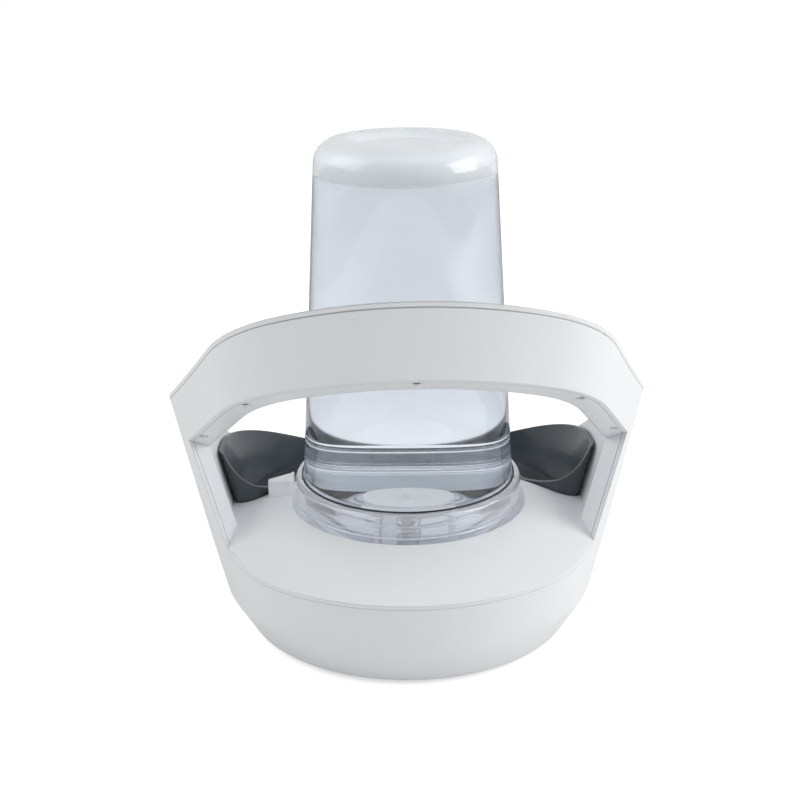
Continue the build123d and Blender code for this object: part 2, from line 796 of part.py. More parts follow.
# ---------------------------------------------------------------- bottle, cap and valve


def bottle_section(inset):
    """Half section of the bottle, mouth down, with its walls and its crown moved in by inset."""
    crown_height = bottle_top - inset
    dish_height = crown_height - bottle_dish_depth
    crown_radius = bottle_high_radius - crown_lean - inset
    with BuildSketch(side_plane()) as section:
        with BuildLine():
            Polyline((0, bottle_mouth), (bottle_neck_radius - inset, bottle_mouth),
                     (bottle_neck_radius - inset, bottle_shoulder),
                     (bottle_low_radius - inset, bottle_shoulder + shoulder_rise),
                     (bottle_high_radius - inset, bottle_high), (crown_radius, crown_height),
                     (bottle_dish_radius + dish_lean, crown_height), (bottle_dish_radius, dish_height),
                     (0, dish_height), close=True)
        make_face()
        crown_corner = section.vertices().sort_by_distance((crown_radius, 0, crown_height))[0]
        fillet(crown_corner, bottle_rounding - inset)
    return section.sketch


bottle_band = bottle_section(0) - bottle_section(bottle_wall)
with BuildPart() as water_bottle:
    revolve(bottle_band, axis=Axis.Z)
    bead_inside = bottle_neck_radius - bottle_wall / 2
    add(ring_form(bottle_neck_radius + bottle_bead, bead_inside, bottle_bead_height,
                  bottle_bead_height + bead_width))
water_bottle.part.label = "water_bottle"

with BuildPart() as bottle_seal:
    add(ring_form(cap_bore + seal_width, cap_bore, cap_top, cap_top + seal_height))
    fillet(bottle_seal.edges().group_by(Axis.Z)[-1], seal_height / 3)
bottle_seal.part.label = "bottle_seal"

with BuildPart() as bottle_cap:
    add(ring_form(cap_radius, 0, cap_bottom, cap_top))
    fillet(bottle_cap.edges().group_by(Axis.Z)[-1], cap_rounding)
    fillet(bottle_cap.edges().group_by(Axis.Z)[0], cap_rounding / 2)
    add(ring_form(cap_bore, 0, cap_floor_top, cap_top + 1), mode=Mode.SUBTRACT)
    add(ring_form(outlet_radius, 0, cap_bottom - 1, cap_top), mode=Mode.SUBTRACT)
    bead_root = cap_bore + cap_bead / 2
    add(ring_form(bead_root, cap_bore - cap_bead, cap_bead_height, cap_bead_height + bead_width))
bottle_cap.part.label = "bottle_cap"

with BuildPart() as valve_guide:
    add(ring_form(guide_radius, guide_radius - guide_rail - 1, cap_floor_top + seat_gap,
                  cap_floor_top + seat_gap + guide_wall))
    with BuildSketch(Plane.XY.offset(cap_floor_top + seat_gap)):
        with PolarLocations(guide_radius - guide_rail / 2, guide_rail_count):
            Rectangle(guide_rail, 2 * guide_rail)
    extrude(amount=guide_top - cap_floor_top - seat_gap)
    add(ring_form(guide_radius, 0, guide_top - guide_wall, guide_top))
    add(ring_form(stem_radius + run_gap, 0, guide_top - guide_wall, guide_top), mode=Mode.SUBTRACT)
valve_guide.part.label = "valve_guide"

with BuildPart() as valve_stem:
    add(ring_form(stem_radius, 0, post_top + seat_gap, stem_top))
    add(ring_form(washer_radius, 0, disc_bottom, disc_top))
valve_stem.part.label = "valve_stem"

with BuildPart() as valve_washer:
    add(ring_form(washer_radius, stem_radius, washer_bottom, disc_bottom))
valve_washer.part.label = "valve_washer"

spring_low = disc_top + spring_wire + seat_gap / 2
spring_high = guide_top - guide_wall - spring_wire - seat_gap / 2
with BuildPart() as valve_spring:
    with BuildLine() as coil:
        Helix((spring_high - spring_low) / spring_turns, spring_high - spring_low, spring_radius,
              center=(0, 0, spring_low))
    with BuildSketch(Plane(origin=coil.line @ 0, z_dir=coil.line % 0)):
        Circle(spring_wire)
    sweep(is_frenet=True)
valve_spring.part.label = "valve_spring"

# ---------------------------------------------------------------- pump


def pump_plane(y):
    """Plane across the rotor's axis at depth y, with local axes along world X and Z."""
    return Plane(origin=(pump_x, y, pump_axis_z), x_dir=(1, 0, 0), z_dir=(0, -1, 0))


with BuildPart() as pump_housing:
    with BuildSketch(pump_plane(pump_back)):
        RectangleRounded(pump_width, pump_top - pump_bottom, pump_rounding)
    extrude(amount=pump_back - pump_split)
    with BuildSketch(pump_plane(rotor_back)):
        Circle(rotor_radius + rotor_bore_gap)
    extrude(amount=rotor_back - pump_split, mode=Mode.SUBTRACT)
    with BuildSketch(pump_plane(rotor_back - bush_length)):
        Circle(bush_radius)
    extrude(amount=-bush_length, mode=Mode.SUBTRACT)
    with BuildSketch(pump_plane(pump_back)):
        with Locations((0, lead_z - pump_axis_z)):
            Circle(lead_radius)
    extrude(amount=-lead_radius, mode=Mode.SUBTRACT)
pump_housing.part.label = "pump_housing"

with BuildPart() as pump_cover:
    with BuildSketch(pump_plane(pump_split)):
        RectangleRounded(pump_width, pump_top - pump_bottom, pump_rounding)
    extrude(amount=pump_split - pump_front)
    with BuildSketch(pump_plane(pump_split)):
        Circle(volute_radius)
    extrude(amount=-volute_depth, mode=Mode.SUBTRACT)
    with BuildSketch(pump_plane(pump_split + volute_depth)):
        Circle(bush_radius)
    extrude(amount=-(pump_front - pump_split - volute_depth) / 2, mode=Mode.SUBTRACT)
    with BuildSketch(pump_plane(pump_split)):
        with PolarLocations(intake_circle, intake_count):
            Circle(intake_radius)
    extrude(amount=pump_split - pump_front, mode=Mode.SUBTRACT)
    with BuildSketch(Plane.XY.offset(pump_axis_z)):
        with Locations((pump_x, pump_split + volute_depth / 2)):
            Circle(volute_depth / 2 - run_gap)
    extrude(amount=pump_top - pump_axis_z, mode=Mode.SUBTRACT)
pump_cover.part.label = "pump_cover"

rotor_plane = pump_plane(rotor_back + seat_gap)
with BuildPart() as impeller:
    with BuildSketch(rotor_plane):
        Circle(rotor_radius)
    extrude(amount=rotor_back - pump_split)
    with BuildSketch(pump_plane(pump_split + seat_gap)):
        with PolarLocations(0, vane_count):
            Rectangle(vane_radius, vane_width, align=(Align.MIN, Align.CENTER))
        Circle(bush_radius)
    extrude(amount=-vane_depth)
    with BuildSketch(rotor_plane):
        Circle(shaft_radius + run_gap)
    extrude(amount=rotor_back - pump_front, mode=Mode.SUBTRACT)
impeller.part.label = "impeller"

shaft_back = rotor_back - bush_length
shaft_front = pump_split + volute_depth + (pump_front - pump_split - volute_depth) / 2
with BuildPart() as impeller_shaft:
    with BuildSketch(pump_plane(shaft_back)):
        Circle(shaft_radius)
    extrude(amount=shaft_back - shaft_front)
impeller_shaft.part.label = "impeller_shaft"

with BuildPart() as shaft_bushes:
    for bush_back, bush_front in ((shaft_back, rotor_back), (pump_split + volute_depth, shaft_front)):
        with BuildSketch(pump_plane(bush_back)):
            Circle(bush_radius)
            Circle(shaft_radius, mode=Mode.SUBTRACT)
        extrude(amount=bush_back - bush_front)
shaft_bushes.part.label = "shaft_bushes"

with BuildPart() as pump_foam:
    with BuildSketch(pump_plane(pump_front)):
        RectangleRounded(pump_width - 2 * foam_margin, pump_top - pump_bottom - foam_margin / 2,
                         pump_rounding)
    extrude(amount=-foam_wall)
pump_foam.part.label = "pump_foam"

cup_spots = [(pump_x + side * (pump_width / 2 - cup_inset), y) for side in (1, -1)
             for y in (pump_back + cup_inset, pump_split - cup_inset)]
with BuildPart() as suction_cups:
    for spot in cup_spots:
        with BuildSketch(Plane.XY.offset(basin_floor)):
            with Locations(spot):
                Circle(cup_radius)
        with BuildSketch(Plane.XY.offset(pump_bottom)):
            with Locations(spot):
                Circle(cup_radius / 2)
        loft()
suction_cups.part.label = "suction_cups"

with BuildPart() as riser_tube:
    with BuildSketch(Plane.XY.offset(pump_top)):
        with Locations(spout_spot):
            Circle(riser_radius)
            Circle(riser_bore, mode=Mode.SUBTRACT)
    extrude(amount=riser_top - pump_top)
riser_tube.part.label = "riser_tube"

# ---------------------------------------------------------------- filter
filter_middle = (filter_x, (filter_back + filter_front) / 2)
filter_depth = filter_front - filter_back
filter_bottom = basin_floor + seat_gap
slot_pitch = filter_width / (filter_slot_count + 1)
with BuildPart() as filter_case:
    with BuildSketch(Plane.XY.offset(filter_bottom)):
        with Locations(filter_middle):
            RectangleRounded(filter_width, filter_depth, filter_rounding)
    extrude(amount=filter_top - filter_bottom)
    with BuildSketch(Plane.XY.offset(filter_bottom + filter_wall)):
        with Locations(filter_middle):
            RectangleRounded(filter_width - 2 * filter_wall, filter_depth - 2 * filter_wall,
                             filter_rounding - filter_wall)
    extrude(amount=filter_top - filter_bottom, mode=Mode.SUBTRACT)
    with BuildSketch(side_plane(filter_back - 1)):
        with Locations((filter_x, filter_bottom + filter_wall + filter_foam_wall / 2)):
            with GridLocations(slot_pitch, 1, filter_slot_count, 1):
                SlotOverall(filter_foam_wall, filter_slot, rotation=90)
    extrude(amount=-filter_depth - 2, mode=Mode.SUBTRACT)
filter_case.part.label = "filter_case"

foam_bottom = filter_bottom + filter_wall
carbon_bottom = foam_bottom + filter_foam_wall
carbon_top = filter_top - filter_lid_wall
fill_width = filter_width - 2 * filter_wall - 2 * seat_gap
fill_depth = filter_depth - 2 * filter_wall - 2 * seat_gap
with BuildPart() as filter_foam:
    with BuildSketch(Plane.XY.offset(foam_bottom)):
        with Locations(filter_middle):
            RectangleRounded(fill_width, fill_depth, filter_rounding - filter_wall)
    extrude(amount=filter_foam_wall)
filter_foam.part.label = "filter_foam"

with BuildPart() as filter_carbon:
    with BuildSketch(Plane.XY.offset(carbon_bottom)):
        with Locations(filter_middle):
            RectangleRounded(fill_width, fill_depth, filter_rounding - filter_wall)
    extrude(amount=carbon_top - carbon_bottom)
filter_carbon.part.label = "filter_carbon"

with BuildPart() as filter_lid:
    with BuildSketch(Plane.XY.offset(carbon_top + seat_gap)):
        with Locations(filter_middle):
            RectangleRounded(fill_width, fill_depth, filter_rounding - filter_wall)
    extrude(amount=filter_top - carbon_top - seat_gap)
    with BuildSketch(Plane.XY.offset(filter_top)):
        with Locations(filter_middle):
            RectangleRounded(filter_width, filter_depth, filter_rounding)
    extrude(amount=filter_lid_wall)
    with BuildSketch(Plane.XY.offset(carbon_top)):
        with Locations(drain_spot):
            Circle(drain_bore + drain_wall + 2 * seat_gap)
    extrude(amount=2 * filter_lid_wall, mode=Mode.SUBTRACT)
filter_lid.part.label = "filter_lid"

# ---------------------------------------------------------------- power inlet and inner lead
with BuildPart() as power_jack:
    with BuildSketch(jack_plane(jack_inner)):
        Rectangle(jack_width, jack_height)
    extrude(amount=jack_outer - jack_inner)
    with BuildSketch(jack_plane(jack_outer)):
        Circle(jack_nose_radius)
    extrude(amount=jack_nose_end - jack_outer)
    with BuildSketch(jack_plane(jack_nose_end - jack_socket_depth)):
        Circle(jack_socket_radius)
    extrude(amount=jack_socket_depth, mode=Mode.SUBTRACT)
power_jack.part.label = "power_jack"

with BuildPart() as jack_pin:
    with BuildSketch(jack_plane(jack_nose_end - jack_socket_depth)):
        Circle(jack_pin_radius)
    extrude(amount=jack_socket_depth - 2 * jack_pin_radius)
    fillet(jack_pin.edges().group_by(Axis.X)[-1], jack_pin_radius / 2)
jack_pin.part.label = "jack_pin"

with BuildPart() as pump_lead:
    with BuildLine() as lead_route:
        FilletPolyline((jack_inner, jack_y, jack_z), (pump_x, jack_y, jack_z), (pump_x, lead_y, jack_z),
                       (pump_x, lead_y, lead_z), (pump_x, pump_back, lead_z),
                       radius=[2 * lead_bend, lead_bend, lead_bend / 2])
        Line((pump_x, pump_back, lead_z), (pump_x, pump_back + lead_radius, lead_z))
    with BuildSketch(Plane(origin=lead_route.line @ 0, z_dir=lead_route.line % 0)):
        Circle(lead_radius)
    sweep()
pump_lead.part.label = "pump_lead"

with BuildPart() as lead_grommet:
    for level, radius, height in ((basin_bottom - grommet_lip, grommet_flange, grommet_lip),
                                  (basin_bottom, grommet_groove, basin_wall),
                                  (basin_floor, grommet_flange, grommet_lip)):
        with BuildSketch(Plane.XY.offset(level)):
            with Locations((pump_x, lead_y)):
                Circle(radius)
                Circle(lead_radius, mode=Mode.SUBTRACT)
        extrude(amount=height)
lead_grommet.part.label = "lead_grommet"

# ---------------------------------------------------------------- write the parts
os.makedirs("parts", exist_ok=True)
pieces = [outer_shell, inner_shell, case_screws, base_plate, feet, base_screws,
          water_basin, basin_gasket, basin_screws, bottle_cradle,
          drinking_bowl, spout_seal, spout_nozzle, drain_grate,
          water_bottle, bottle_seal, bottle_cap, valve_guide, valve_stem, valve_washer, valve_spring,
          pump_housing, pump_cover, impeller, impeller_shaft, shaft_bushes, pump_foam, suction_cups,
          riser_tube, filter_case, filter_foam, filter_carbon, filter_lid,
          power_jack, jack_pin, pump_lead, lead_grommet]
for piece in pieces:
    export_step(piece.part, f"parts/{piece.part.label}.step")
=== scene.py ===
from math import acos, asin, atan, atan2, cos, hypot, pi, radians, sin, sqrt, tan

import bmesh
import bpy
from mathutils import Matrix, Vector


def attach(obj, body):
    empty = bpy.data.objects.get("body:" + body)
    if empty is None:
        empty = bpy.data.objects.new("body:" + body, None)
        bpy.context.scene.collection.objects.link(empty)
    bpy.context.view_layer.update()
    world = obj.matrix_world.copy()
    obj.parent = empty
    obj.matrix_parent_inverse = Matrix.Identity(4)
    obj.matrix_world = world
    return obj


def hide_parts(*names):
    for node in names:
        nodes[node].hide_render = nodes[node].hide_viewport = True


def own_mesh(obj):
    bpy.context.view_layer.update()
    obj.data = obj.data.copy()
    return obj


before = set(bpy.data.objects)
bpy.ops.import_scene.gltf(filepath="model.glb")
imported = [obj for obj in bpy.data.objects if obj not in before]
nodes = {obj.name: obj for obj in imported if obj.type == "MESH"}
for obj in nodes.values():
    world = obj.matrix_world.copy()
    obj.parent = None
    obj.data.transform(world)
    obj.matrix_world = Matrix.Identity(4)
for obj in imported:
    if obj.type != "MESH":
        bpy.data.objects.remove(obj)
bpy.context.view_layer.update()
MM = 0.001

# ---------------------------------------------------------------- sizes shared with the solids, in mm
bottle_low_radius = 61.9
bottle_high_radius = 51.5
bottle_neck_radius = 60.6
bottle_mouth = 60.0
bottle_shoulder = 86.0
shoulder_rise = 4.4
bottle_high = 273.0
bottle_top = 286.0
bottle_wall = 2.2
crown_radius = 50.4
crown_rounding = 13.5
dish_depth = 3.5
bead_low, bead_high = 77.0, 79.4
bead_radius = 62.0
cap_radius = 67.0
cap_bottom, cap_top = 50.3, 88.0
cap_floor_top = 53.3
cap_bore = 62.4
cap_bead_low, cap_bead_high = 72.5, 74.9
cap_bead_radius = 61.1
outlet_radius = 12.0
cone_radius = 104.0        # outer radius of the case at the floor, gaining case_flare for each mm of height
case_flare = 0.25
front_shift = 20.0
cheek_angle = 64.0
cheek_offset = 104.5
cheek_flare = 0.167
crease_rounding = 80.0     # of a cheek's rear edge
front_crease_rounding = 34.0
bowl_inset = 15.0
bowl_wall = 2.6
bowl_bottom, bowl_floor_top, bowl_top = 50.3, 53.0, 100.0
bowl_inner_radius = 74.0
bowl_back_low, bowl_back_high = 26.0, 15.0
bowl_corner_low, bowl_corner_high = -3.0, -12.0
bowl_rounding_low, bowl_rounding_high = 8.0, 15.0
dome_opening = 70.0

# ---------------------------------------------------------------- sizes of the looks alone, in mm
dish_radius = 26.0         # the crown's dish, softer than the solid's
dish_rim_radius = 34.0
dish_rounding = 8.0
bottle_water_top = 268.0
bottle_water_foot = 61.6   # above the washer when the valve is fully open
bowl_water_top = 59.6
meniscus = 0.4             # rise of the water at the wall
meniscus_width = 3.0
meniscus_rounding = 4.0
overlap = 0.12             # how far water reaches into the wall that holds it, so that both bend light as one
opening_rounding = 2.4
valley_rounding = 3.0
hoop_rounding = 0.5
case_rounding = 0.45
foot_rounding = 0.8
rim_rounding = 1.15
bowl_foot_rounding = 1.0
skin_depth = 0.6           # an edge this close under the case's face belongs to it
turning_steps = 192        # round a turned piece

join_distance = 2e-6       # in metres, between corners that are one
crease_angle = radians(28)
sharp_angle = radians(35)
rounded_angle = radians(38)
flat_angle = radians(0.5)


# ---------------------------------------------------------------- finishes
def shader(name):
    """A new material with its node tree, its Principled shader and a function that adds nodes."""
    material = bpy.data.materials.new(name)
    material.use_nodes = True
    tree = material.node_tree
    principled = tree.nodes["Principled BSDF"]

    def add(kind, **settings):
        node = tree.nodes.new(kind)
        for key, value in settings.items():
            if key in node.inputs:
                node.inputs[key].default_value = value
            else:
                setattr(node, key, value)
        return node

    return material, tree, principled, add


# painted light: the paler tint that water takes low down, so that the lit inside under the bottle shows bright
# through it
painted_light_tint = (0.92, 0.935, 0.955)
passing_tint = (0.98, 0.985, 0.99)     # of the light that lamps send through clear pieces


def moulded_plastic(name, colour, roughness, grain=0.02, edge=0.0009, coat=0.0, shift=0.03):
    """Injection-moulded plastic: fine grain, slight changes of gloss and tone, softly rounded edges."""
    material, tree, principled, add = shader(name)
    place = add("ShaderNodeTexCoord")
    cloud = add("ShaderNodeTexNoise", Scale=38.0, Detail=3.0)
    fine = add("ShaderNodeTexNoise", Scale=2600.0, Detail=2.0)
    tone = add("ShaderNodeMix", data_type="RGBA", blend_type="MIX")
    tone.inputs[6].default_value = (*[c * (1 - shift) for c in colour], 1)
    tone.inputs[7].default_value = (*colour, 1)
    gloss = add("ShaderNodeMapRange")
    gloss.inputs["To Min"].default_value = roughness * 0.9
    gloss.inputs["To Max"].default_value = roughness * 1.12
    bump = add("ShaderNodeBump", Strength=grain, Distance=0.0004)
    links = tree.links
    links.new(place.outputs["Object"], cloud.inputs["Vector"])
    links.new(place.outputs["Object"], fine.inputs["Vector"])
    links.new(cloud.outputs["Fac"], tone.inputs["Factor"])
    links.new(cloud.outputs["Fac"], gloss.inputs["Value"])
    links.new(fine.outputs["Fac"], bump.inputs["Height"])
    if edge:
        rounded = add("ShaderNodeBevel", Radius=edge, samples=6)
        links.new(rounded.outputs["Normal"], bump.inputs["Normal"])
    links.new(tone.outputs[2], principled.inputs["Base Color"])
    links.new(gloss.outputs["Result"], principled.inputs["Roughness"])
    links.new(bump.outputs["Normal"], principled.inputs["Normal"])
    principled.inputs["Coat Weight"].default_value = coat
    principled.inputs["Coat Roughness"].default_value = 0.12
    return material


def clear_plastic(name, tint, roughness, ior, ripple=0.02, clearness=1.0, milky_above=None, painted_light_below=None):
    """Clear moulded plastic or water, with a very slight ripple; less clearness gives a milky body.

    A milky top, when given as (height where it starts, height where it is full, clearness left, roughness
    reached), turns the body milky and rough above that height; on water this milky skin is a painted sheen of its
    surface line.
    A paler tint, when given as (height up to which the tint is pale, height from which it is full), is painted
    light: the water looks lighter low down, as if the brightly lit inside under it shone through.
    """
    material, tree, principled, add = shader(name)
    place = add("ShaderNodeTexCoord")
    wave = add("ShaderNodeTexNoise", Scale=22.0, Detail=1.0)
    bump = add("ShaderNodeBump", Strength=ripple, Distance=0.002)
    tree.links.new(place.outputs["Object"], wave.inputs["Vector"])
    tree.links.new(wave.outputs["Fac"], bump.inputs["Height"])
    tree.links.new(bump.outputs["Normal"], principled.inputs["Normal"])
    principled.inputs["Base Color"].default_value = (*tint, 1)
    principled.inputs["Roughness"].default_value = roughness
    principled.inputs["IOR"].default_value = ior
    principled.inputs["Transmission Weight"].default_value = clearness
    # milky and rough above a height; on the water this is a painted sheen of its surface line
    if milky_above:
        start, full, left, rough = milky_above
        axes = add("ShaderNodeSeparateXYZ")
        tree.links.new(place.outputs["Object"], axes.inputs["Vector"])
        for socket, plain, milky_value in (("Transmission Weight", clearness, left), ("Roughness", roughness, rough)):
            rise = add("ShaderNodeMapRange")
            rise.inputs["From Min"].default_value = start
            rise.inputs["From Max"].default_value = full
            rise.inputs["To Min"].default_value = plain
            rise.inputs["To Max"].default_value = milky_value
            tree.links.new(axes.outputs["Z"], rise.inputs["Value"])
            tree.links.new(rise.outputs["Result"], principled.inputs[socket])
    # water paler low down: painted light of the bright inside under the bottle
    if painted_light_below:
        axes = add("ShaderNodeSeparateXYZ")
        rise = add("ShaderNodeMapRange")
        rise.inputs["From Min"].default_value = painted_light_below[0]
        rise.inputs["From Max"].default_value = painted_light_below[1]
        tone = add("ShaderNodeMix", data_type="RGBA")
        tone.inputs[6].default_value = (*painted_light_tint, 1)
        tone.inputs[7].default_value = (*tint, 1)
        tree.links.new(place.outputs["Object"], axes.inputs["Vector"])
        tree.links.new(axes.outputs["Z"], rise.inputs["Value"])
        tree.links.new(rise.outputs["Result"], tone.inputs["Factor"])
        tree.links.new(tone.outputs[2], principled.inputs["Base Color"])
    clear = add("ShaderNodeBsdfTransparent", Color=(*passing_tint, 1))
    rays = add("ShaderNodeLightPath")
    either = add("ShaderNodeMath", operation="MAXIMUM")
    choose = add("ShaderNodeMixShader")
    tree.links.new(rays.outputs["Is Shadow Ray"], either.inputs[0])
    tree.links.new(rays.outputs["Is Diffuse Ray"], either.inputs[1])
    tree.links.new(either.outputs[0], choose.inputs["Fac"])
    tree.links.new(principled.outputs[0], choose.inputs[1])
    tree.links.new(clear.outputs[0], choose.inputs[2])
    tree.links.new(choose.outputs[0], tree.nodes["Material Output"].inputs["Surface"])
    return material


def brushed_metal(name, colour, roughness):
    """Turned stainless steel with fine streaks."""
    material, tree, principled, add = shader(name)
    place = add("ShaderNodeTexCoord")
    stretch = add("ShaderNodeMapping")
    stretch.inputs["Scale"].default_value = (1.0, 1.0, 14.0)
    streak = add("ShaderNodeTexNoise", Scale=420.0, Detail=2.0)
    gloss = add("ShaderNodeMapRange")
    gloss.inputs["To Min"].default_value = roughness * 0.7
    gloss.inputs["To Max"].default_value = roughness * 1.4
    tree.links.new(place.outputs["Object"], stretch.inputs["Vector"])
    tree.links.new(stretch.outputs["Vector"], streak.inputs["Vector"])
    tree.links.new(streak.outputs["Fac"], gloss.inputs["Value"])
    tree.links.new(gloss.outputs["Result"], principled.inputs["Roughness"])
    principled.inputs["Base Color"].default_value = (*colour, 1)
    principled.inputs["Metallic"].default_value = 1.0
    return material


def open_foam(name, dark, pale, pore):
    """Open-cell foam or granules: round pores in two tones, with a strong bump."""
    material, tree, principled, add = shader(name)
    place = add("ShaderNodeTexCoord")
    cells = add("ShaderNodeTexVoronoi", Scale=pore)
    tone = add("ShaderNodeMix", data_type="RGBA")
    tone.inputs[6].default_value = (*dark, 1)
    tone.inputs[7].default_value = (*pale, 1)
    bump = add("ShaderNodeBump", Strength=0.8, Distance=0.0006)
    tree.links.new(place.outputs["Object"], cells.inputs["Vector"])
    tree.links.new(cells.outputs["Distance"], tone.inputs["Factor"])
    tree.links.new(cells.outputs["Distance"], bump.inputs["Height"])
    tree.links.new(tone.outputs[2], principled.inputs["Base Color"])
    tree.links.new(bump.outputs["Normal"], principled.inputs["Normal"])
    principled.inputs["Roughness"].default_value = 0.9
    return material


case_white = moulded_plastic("case_white", (0.82, 0.825, 0.835), 0.34, grain=0.015, edge=0.0012, shift=0.015)
inner_white = moulded_plastic("inner_white", (0.88, 0.88, 0.89), 0.42, edge=0.0006)
bowl_grey = moulded_plastic("bowl_grey", (0.040, 0.052, 0.062), 0.22, grain=0.01, edge=0.0012, coat=0.3)
pump_black = moulded_plastic("pump_black", (0.022, 0.024, 0.028), 0.42, edge=0.0004)
pale_blue = moulded_plastic("pale_blue", (0.42, 0.58, 0.66), 0.40, edge=0.0003)
seal_rubber = moulded_plastic("seal_rubber", (0.015, 0.016, 0.018), 0.55, grain=0.05, edge=0.0003)
foot_rubber = moulded_plastic("foot_rubber", (0.055, 0.056, 0.06), 0.7, grain=0.08, edge=0.0005)
lead_jacket = moulded_plastic("lead_jacket", (0.02, 0.02, 0.022), 0.5, grain=0.04, edge=0.0)
bottle_clear = clear_plastic("bottle_clear", (0.93, 0.955, 0.975), 0.02, 1.50, milky_above=(0.262, 0.283, 0.55, 0.2))
cap_clear = clear_plastic("cap_clear", (0.95, 0.95, 0.98), 0.04, 1.50, clearness=0.86)
# the milky skin just under the water's top is a painted sheen of its surface line
# the paler tint low down is painted light of the bright inside under the bottle
water = clear_plastic("water", (0.63, 0.64, 0.665), 0.0, 1.33, ripple=0.01,
                      milky_above=(0.2662, 0.2675, 0.3, 0.15), painted_light_below=(0.085, 0.125))
pool_water = clear_plastic("pool_water", (0.93, 0.955, 0.975), 0.03, 1.33, ripple=0.6)
steel = brushed_metal("steel", (0.62, 0.62, 0.63), 0.3)
filter_sponge = open_foam("filter_sponge", (0.012, 0.013, 0.015), (0.07, 0.075, 0.08), 900.0)
carbon_grain = open_foam("carbon_grain", (0.006, 0.006, 0.006), (0.03, 0.03, 0.03), 600.0)

finishes = {
    case_white: ["outer_shell", "inner_shell", "base_plate"],
    inner_white: ["water_basin", "bottle_cradle", "spout_nozzle", "drain_grate", "valve_guide", "valve_stem",
                  "filter_case", "filter_lid"],
    bowl_grey: ["drinking_bowl"],
    pump_black: ["pump_housing", "pump_cover", "power_jack"],
    pale_blue: ["impeller"],
    seal_rubber: ["basin_gasket", "spout_seal", "bottle_seal", "valve_washer", "shaft_bushes", "suction_cups",
                  "lead_grommet"],
    foot_rubber: ["feet"],
    lead_jacket: ["pump_lead"],
    bottle_clear: ["water_bottle"],
    cap_clear: ["bottle_cap", "riser_tube"],
    steel: ["case_screws", "base_screws", "basin_screws", "valve_spring", "impeller_shaft", "jack_pin"],
    filter_sponge: ["pump_foam", "filter_foam"],
    carbon_grain: ["filter_carbon"],
}
for finish, names in finishes.items():
    for name in names:
        nodes[name].data.materials.clear()
        nodes[name].data.materials.append(finish)


# ---------------------------------------------------------------- joined and smoothed solids
def smooth_tree():
    """Geometry node tree that joins a solid's triangles and shades it smooth up to a crease angle."""
    tree = bpy.data.node_groups.new("moulded_surface", "GeometryNodeTree")
    tree.interface.new_socket("Solid", in_out="INPUT", socket_type="NodeSocketGeometry")
    crease = tree.interface.new_socket("Crease angle", in_out="INPUT", socket_type="NodeSocketFloat")
    crease.default_value = crease_angle
    tree.interface.new_socket("Solid", in_out="OUTPUT", socket_type="NodeSocketGeometry")
    start = tree.nodes.new("NodeGroupInput")
    end = tree.nodes.new("NodeGroupOutput")
    merge = tree.nodes.new("GeometryNodeMergeByDistance")
    merge.inputs["Distance"].default_value = join_distance
    faces = tree.nodes.new("GeometryNodeSetShadeSmooth")
    faces.inputs["Shade Smooth"].default_value = True
    angle = tree.nodes.new("GeometryNodeInputMeshEdgeAngle")
    flat = tree.nodes.new("FunctionNodeCompare")
    flat.operation = "LESS_THAN"
    edges = tree.nodes.new("GeometryNodeSetShadeSmooth")
    edges.domain = "EDGE"
    link = tree.links.new
    link(start.outputs["Solid"], merge.inputs["Geometry"])
    link(merge.outputs["Geometry"], faces.inputs["Geometry"])
    link(faces.outputs["Geometry"], edges.inputs["Geometry"])
    link(angle.outputs["Unsigned Angle"], flat.inputs[0])
    link(start.outputs["Crease angle"], flat.inputs[1])
    link(flat.outputs["Result"], edges.inputs["Shade Smooth"])
    link(edges.outputs["Geometry"], end.inputs["Solid"])
    return tree


moulded_surface = smooth_tree()
for name in nodes:
    surface = nodes[name].modifiers.new("moulded_surface", "NODES")
    surface.node_group = moulded_surface


def dressed(piece, finish, body, *stands_for):
    """Give a piece its finish and its body, and let it stand for CAD nodes."""
    piece.data.materials.append(finish)
    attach(piece, body)
    if stands_for:
        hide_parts(*stands_for)
    return piece


def case_reach(turn, z):
    """Distance in mm from the bottle's axis to the case's outer face, at an angle from the rear."""
    cone = cone_radius + case_flare * z
    cheek = cheek_offset + cheek_flare * z
    rounding = crease_rounding if abs(turn) < radians(cheek_angle) else front_crease_rounding
    centre = cone - rounding
    swing = acos(min(1.0, (cheek - rounding) / centre))
    away = abs(radians(cheek_angle) - abs(turn))
    if away >= swing:
        return cone
    if away <= atan(centre * sin(swing) / cheek):
        return cheek / cos(away)
    aside = swing - away
    return centre * cos(aside) + sqrt(rounding ** 2 - (centre * sin(aside)) ** 2)


def depth(point):
    """How far in mm a point lies under the case's outer face, above its knee."""
    x, y, z = point / MM
    if y < front_shift:
        return case_reach(atan2(x, -min(y, 0)), z) - hypot(x, min(y, 0))
    return cone_radius + case_flare * z - hypot(x, y - front_shift)


